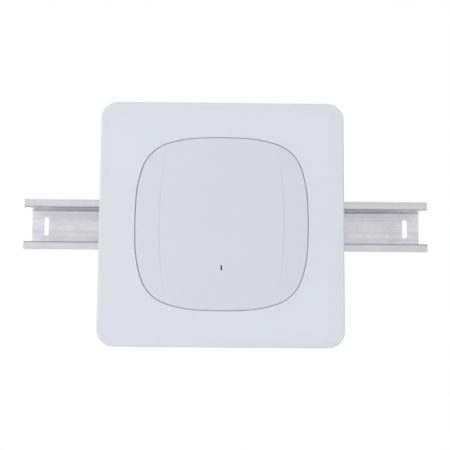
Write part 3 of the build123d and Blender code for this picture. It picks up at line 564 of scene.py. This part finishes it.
def bracket_bolts(material):
    """Pan-head bolts with a hexagonal recess and a thread."""
    low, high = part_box("bracket_bolts")
    seat = low.z + BOLT_HEAD
    recess = low.z + BOLT_KEY_DEPTH
    rings = [
        (recess, BOLT_KEY_CORE),
        (recess, hexagonal(BOLT_KEY)),
        (low.z + BOLT_KEY_MOUTH, hexagonal(BOLT_KEY)),
        (low.z, hexagonal(BOLT_KEY + BOLT_KEY_MOUTH)),
    ]
    for step in range(BOLT_DOME_STEPS + 1):
        turn = math.pi / 2 * step / BOLT_DOME_STEPS
        level = low.z + BOLT_DOME * (1 - math.cos(turn))
        rings.append((level, BOLT_HEAD_R - BOLT_DOME * (1 - math.sin(turn))))
    rings.append((seat - BOLT_RIM, BOLT_HEAD_R))
    rings.append((seat, BOLT_HEAD_R - BOLT_RIM))
    rings.append((seat, BOLT_SHANK_R))
    rings += thread(seat + BOLT_NECK, high.z, BOLT_SHANK_R, BOLT_PITCH)
    corners, faces = spun(middle_places("bracket_bolts"), rings)
    piece = new_piece("threaded_bolts", "root", corners, faces, "bracket_bolts", material)
    smooth(piece, THREAD_SHARP)


# ---- Foam strip and thermal pad ----------------------------------------------------------------------

SOFT_SHARP = 50             # degrees over which a soft piece's edges stay sharp

FOAM_WIDTH = 8.0 * MM
FOAM_CORNER = 13.5 * MM     # bend of the strip's middle line
FOAM_STEP = 1.5 * MM
FOAM_JOINT = 0.5 * MM       # gap where the strip's two ends meet
FOAM_FOOT = 0.94            # share of the width that the adhesive side covers
FOAM_BELLY = 0.97           # share of the width at the shoulders
FOAM_SHOULDER = 0.45        # share of the height below the shoulders
FOAM_FIRM = 0.6             # share of the height, from the foot up, that doesn't vary
FOAM_ARC_STEPS = 16
FOAM_SWELL = 0.04           # share by which the height varies along the strip
FOAM_SWELL_LUMPS = 90       # lumps to the metre
FOAM_PINCH = 0.012          # share by which the width varies
FOAM_DRIFT = 0.08 * MM      # how far the strip wanders sideways
FOAM_DRIFT_LUMPS = 35       # bends to the metre
FOAM_DRIFT_START = Vector((7, 3, 1))

PAD_STEPS = 24              # corners along each side
PAD_LEVELS = [0.0, 0.15, 0.5, 0.85, 1.0]    # shares of the pad's height
PAD_BOW = 0.018             # share by which the corners draw in from the bowed sides
PAD_RIPPLE = 0.006          # share by which the sides are uneven
PAD_SQUEEZE = 0.05          # share by which the two faces are smaller than the bulge between them


def rounded_square(half, corner, step):
    """Points and outward directions along a rounded square. They start and end at the two sides of the
    joint in the middle of its -X side."""
    straight = half - corner
    side = 2 * straight
    quarter = math.pi / 2 * corner
    run = 4 * (side + quarter) - FOAM_JOINT
    start = straight + FOAM_JOINT / 2
    count = int(run / step)
    path = []
    for n in range(count + 1):
        along = (start + run * n / count) % (run + FOAM_JOINT)
        quarter_turn, rest = divmod(along, side + quarter)
        if rest < side:
            point, out = Vector((-half, rest - straight, 0)), Vector((-1, 0, 0))
        else:
            turn = (rest - side) / corner
            out = Vector((-math.cos(turn), math.sin(turn), 0))
            point = Vector((-straight, straight, 0)) + corner * out
        spin = Matrix.Rotation(-math.pi / 2 * quarter_turn, 3, "Z")
        path.append((spin @ point, spin @ out))
    return path


def foam_section(height):
    """The strip's outline from one foot over the rounded top to the other, as places across and up."""
    foot = FOAM_FOOT * FOAM_WIDTH / 2
    outline = [(foot, 0)]
    for step in range(FOAM_ARC_STEPS + 1):
        turn = math.pi * step / FOAM_ARC_STEPS
        across = math.copysign(abs(math.cos(turn)) ** 0.45, math.cos(turn))
        up = FOAM_SHOULDER + (1 - FOAM_SHOULDER) * math.sin(turn) ** 0.6
        outline.append((FOAM_BELLY * across * FOAM_WIDTH / 2, height * up))
    outline.append((-foot, 0))
    return outline


def foam_strip(material):
    """The gasket: a soft strip with rounded shoulders, laid round the rim with one butt joint."""
    low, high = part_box("ceiling_gasket")
    height = high.z - low.z
    section = foam_section(height)
    path = rounded_square(high.x - FOAM_WIDTH / 2, FOAM_CORNER, FOAM_STEP)
    corners = []
    for point, out in path:
        swell = noise.noise(point * FOAM_SWELL_LUMPS)
        drift = noise.noise(point * FOAM_DRIFT_LUMPS + FOAM_DRIFT_START)
        for across, up in section:
            rise = up * (1 - FOAM_SWELL * abs(swell)) if up > FOAM_FIRM * height else up
            place = point + out * (across * (1 - FOAM_PINCH * abs(drift)) + FOAM_DRIFT * drift)
            corners.append((place.x, place.y, low.z + rise))
    faces = ring_faces(0, len(path), len(section))
    piece = new_piece("foam_strip", "trim", corners, faces, "ceiling_gasket", material)
    smooth(piece, SOFT_SHARP)


def pad_outline():
    """Corners round a square from -1 to 1, whose sides bow out a little and unevenly."""
    outline = []
    for n in range(4 * PAD_STEPS):
        side, along = divmod(n, PAD_STEPS)
        reach = 2 * along / PAD_STEPS - 1
        ripple = PAD_RIPPLE * noise.noise(Vector((side, along * 0.4, 0)))
        x, y = 1 - PAD_BOW * reach * reach - ripple, reach
        for _ in range(side):
            x, y = -y, x
        outline.append((x, y))
    return outline


def thermal_pad(material):
    """A soft pad that bulges a little where the pedestal squeezes it."""
    low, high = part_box("thermal_pad")
    middle = (low + high) / 2
    half = (high.x - low.x) / 2
    outline = pad_outline()
    corners = []
    for level in PAD_LEVELS:
        size = half * (1 - PAD_SQUEEZE * (2 * level - 1) ** 2)
        z = low.z + (high.z - low.z) * level
        for x, y in outline:
            corners.append((middle.x + size * x, middle.y + size * y, z))
    faces = ring_faces(0, len(PAD_LEVELS), len(outline))
    piece = new_piece("soft_pad", "root", corners, faces, "thermal_pad", material)
    smooth(piece, SOFT_SHARP)


# ---- Surroundings ------------------------------------------------------------------------------------

CAMERA_AT = Vector((-0.0004, -0.0641, -0.7878))
CAMERA_AIM = Vector((-0.0049, -0.0026, -0.0050))
CAMERA_ROLL = math.radians(0.45)
CAMERA_LENS = 50.72
CAMERA_FILM = 36.0
CAMERA_SHIFT = (-0.0013, 0.0009)

AMBIENT = 0.42              # strength with which the white surroundings light the object
WHITE = (1.0, 1.0, 1.0, 1.0)
FLOOR_LEVEL = -2.4
FLOOR_SIZE = 60
FLOOR_FADE = (8, 28)        # distances between which the floor thins out, so that it has no horizon
PANEL_LEVEL = FLOOR_LEVEL + 0.1
SUN_ANGLE = math.radians(80)    # width of the sun's disc, which softens its shadows


def camera():
    """The camera, below the face and a little towards the status light."""
    data = bpy.data.cameras.new("camera")
    data.lens = CAMERA_LENS
    data.sensor_width = CAMERA_FILM
    data.shift_x, data.shift_y = CAMERA_SHIFT
    eye = bpy.data.objects.new("camera", data)
    back = (CAMERA_AT - CAMERA_AIM).normalized()
    right = Vector((0, 1, 0)).cross(back).normalized()
    turn = Matrix((right, back.cross(right), back)).transposed()
    eye.matrix_world = Matrix.Translation(CAMERA_AT) @ turn.to_4x4() @ Matrix.Rotation(CAMERA_ROLL, 4, "Z")
    bpy.context.scene.collection.objects.link(eye)
    bpy.context.scene.camera = eye


def lamp(name, kind, at, power):
    """A lamp that faces the middle of the trim plate, or straight up if it lies just above the floor."""
    data = bpy.data.lights.new(name, kind)
    data.energy = power
    piece = bpy.data.objects.new(name, data)
    piece.location = at
    piece.visible_camera = False
    aim = Vector((0, 0, 1)) if at[2] == PANEL_LEVEL else -Vector(at)
    piece.rotation_euler = aim.to_track_quat("-Z", "Y").to_euler()
    bpy.context.scene.collection.objects.link(piece)
    return data


def panel_light(name, at, size, power):
    """A large soft panel."""
    data = lamp(name, "AREA", at, power)
    data.shape = "RECTANGLE"
    data.size, data.size_y = size


def surroundings():
    """White to the camera, and a dimmer white to everything else."""
    world = bpy.data.worlds.new("studio")
    world.use_nodes = True
    tree = world.node_tree
    seen = tree.nodes["Background"]
    seen.inputs["Color"].default_value = WHITE
    felt = tree.nodes.new("ShaderNodeBackground")
    felt.inputs["Color"].default_value = WHITE
    felt.inputs["Strength"].default_value = AMBIENT
    path = tree.nodes.new("ShaderNodeLightPath")
    mix = tree.nodes.new("ShaderNodeMixShader")
    tree.links.new(path.outputs["Is Camera Ray"], mix.inputs[0])
    tree.links.new(felt.outputs[0], mix.inputs[1])
    tree.links.new(seen.outputs[0], mix.inputs[2])
    tree.links.new(mix.outputs[0], tree.nodes["World Output"].inputs[0])
    bpy.context.scene.world = world
    bpy.context.scene.view_settings.view_transform = "Standard"


def studio_floor():
    """A pale floor far below, which thins out with distance."""
    bpy.ops.mesh.primitive_plane_add(size=FLOOR_SIZE, location=(0, 0, FLOOR_LEVEL))
    floor = bpy.context.object
    floor.name = "floor"
    paint = Paint("floor_paint", Roughness=0.8)
    paint.set("Base Color", paint.blend(paint.noise(0.4, 3), (0.81, 0.81, 0.81), (0.83, 0.83, 0.83)))
    paint.set("Alpha", paint.spread(paint.distance(paint.place), *FLOOR_FADE, 1.0, 0.0))
    give(floor, paint.material)


def lamps():
    """Two soft panels below the ceiling, and a soft sun that lights the floor and the back from above."""
    panel_light("floor_panel", at=(0.55, -0.6, PANEL_LEVEL), size=(4.0, 5.0), power=12)
    panel_light("key_panel", at=(1.9, 0.3, -0.9), size=(2.4, 1.4), power=11.5)
    sun = lamp("overcast_sun", "SUN", at=(1.0, -1.5, 6.0), power=1.6)
    sun.angle = SUN_ANGLE


# ---- Making ------------------------------------------------------------------------------------------

camera()
surroundings()
studio_floor()
lamps()
materials = {finish.__name__: finish() for finish in FINISHES}
dress_nodes(materials)
magnet_studs(materials["screw_steel"])
bracket_bolts(materials["screw_steel"])
foam_strip(materials["foam"])
thermal_pad(materials["thermal_silicone"])
